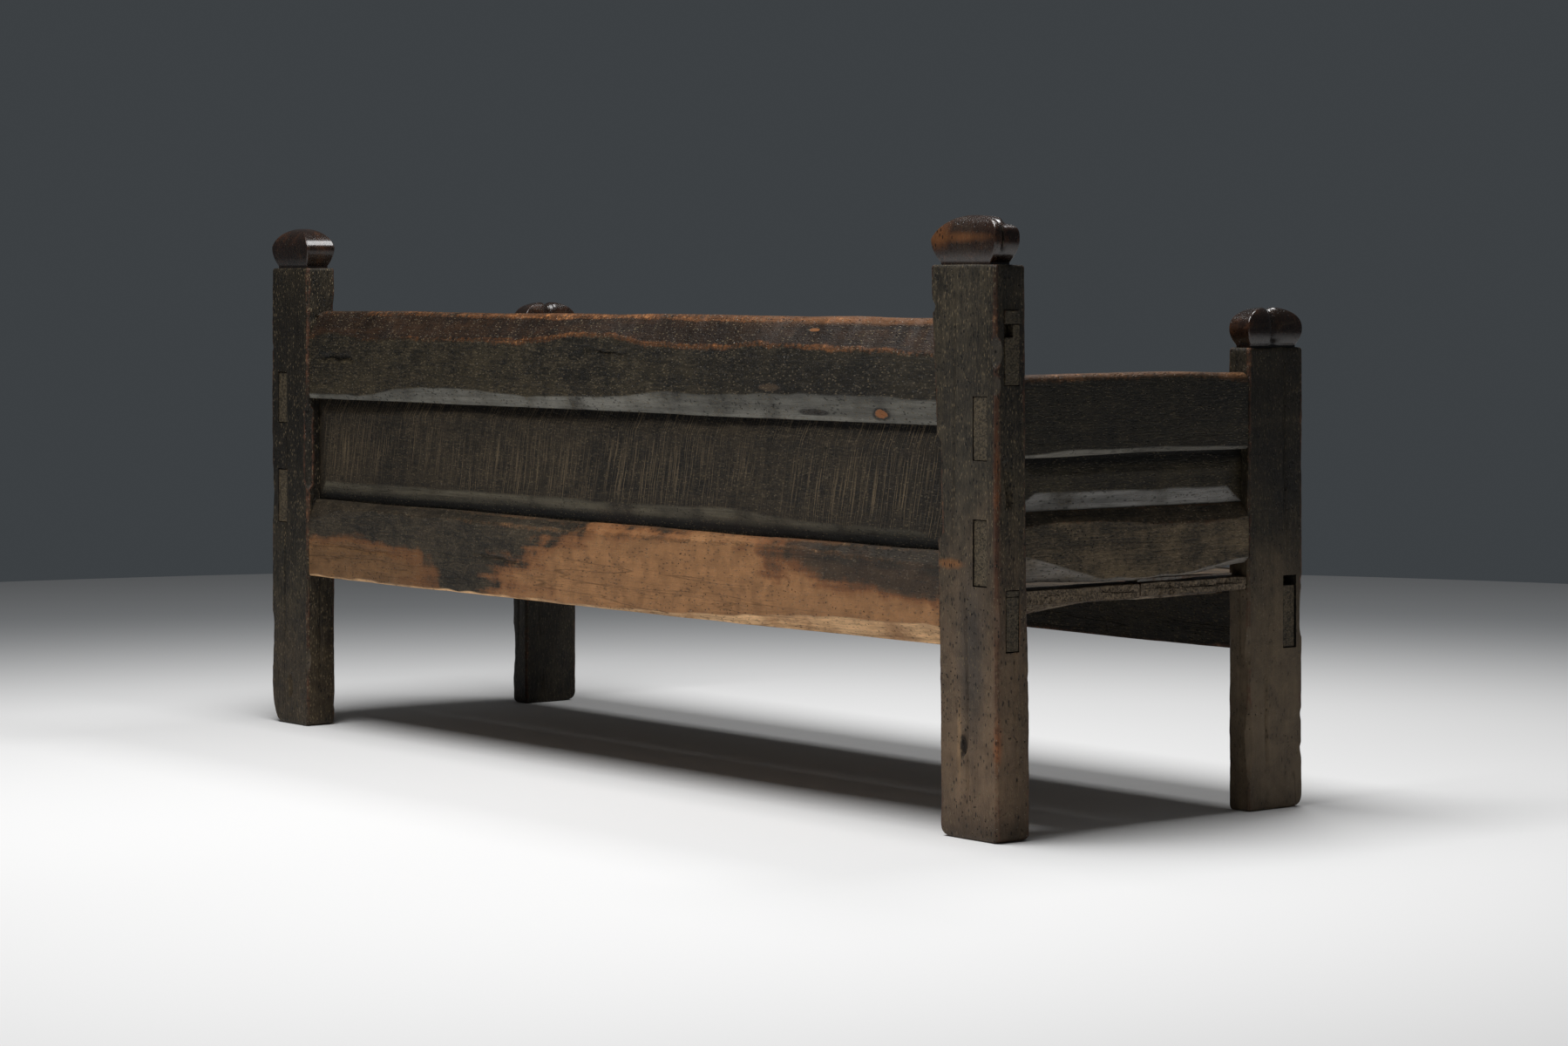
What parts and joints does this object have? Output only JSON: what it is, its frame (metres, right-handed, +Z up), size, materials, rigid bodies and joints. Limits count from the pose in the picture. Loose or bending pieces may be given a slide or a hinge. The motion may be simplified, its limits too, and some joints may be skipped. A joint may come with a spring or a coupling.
{
  "type": "panelled wooden bench",
  "caption": "Rustic wooden settle bench with a panelled back and ends, carved post finials, a boarded seat and pegged and wedged through tenons.",
  "frame": {"origin": "on the floor under the middle of the bench", "axes": "+X along the bench to the right as seen from the front, +Y from the front to the back, +Z up"},
  "size_m": [2, 0.642, 0.901],
  "materials": {
    "post_wood": "near-black patina over hewn hardwood, waxed, red-brown on worn arrises",
    "rail_wood": "dark brown patina with long grain, worn orange-brown along the edges",
    "worn_rail_wood": "patina scuffed through to tan and grey wood",
    "panel_wood": "dark patina over sawn and hand-planed board",
    "seat_wood": "brown board worn smooth on top, raw at the ends",
    "bearer_wood": "riven, unfinished, grey-brown with age",
    "peg_wood": "end grain, darkened"
  },
  "bodies": {
    "root": {"rear_post_left": "post_wood", "rear_post_right": "post_wood", "front_post_left": "post_wood", "front_post_right": "post_wood", "back_top_rail": "rail_wood", "back_bottom_rail": "worn_rail_wood", "arm_rail_left": "rail_wood", "arm_rail_right": "rail_wood", "end_rail_left": "rail_wood", "end_rail_right": "rail_wood", "front_seat_rail": "rail_wood", "back_panel": "panel_wood", "end_panel_left": "panel_wood", "end_panel_right": "panel_wood", "seat_board_rear": "seat_wood", "seat_board_middle": "seat_wood", "seat_board_front": "seat_wood", "seat_bearer_left": "bearer_wood", "seat_bearer_middle": "bearer_wood", "seat_bearer_right": "bearer_wood", "joint_pegs": "peg_wood", "tenon_wedges": "peg_wood"}
  },
  "joints": []
}
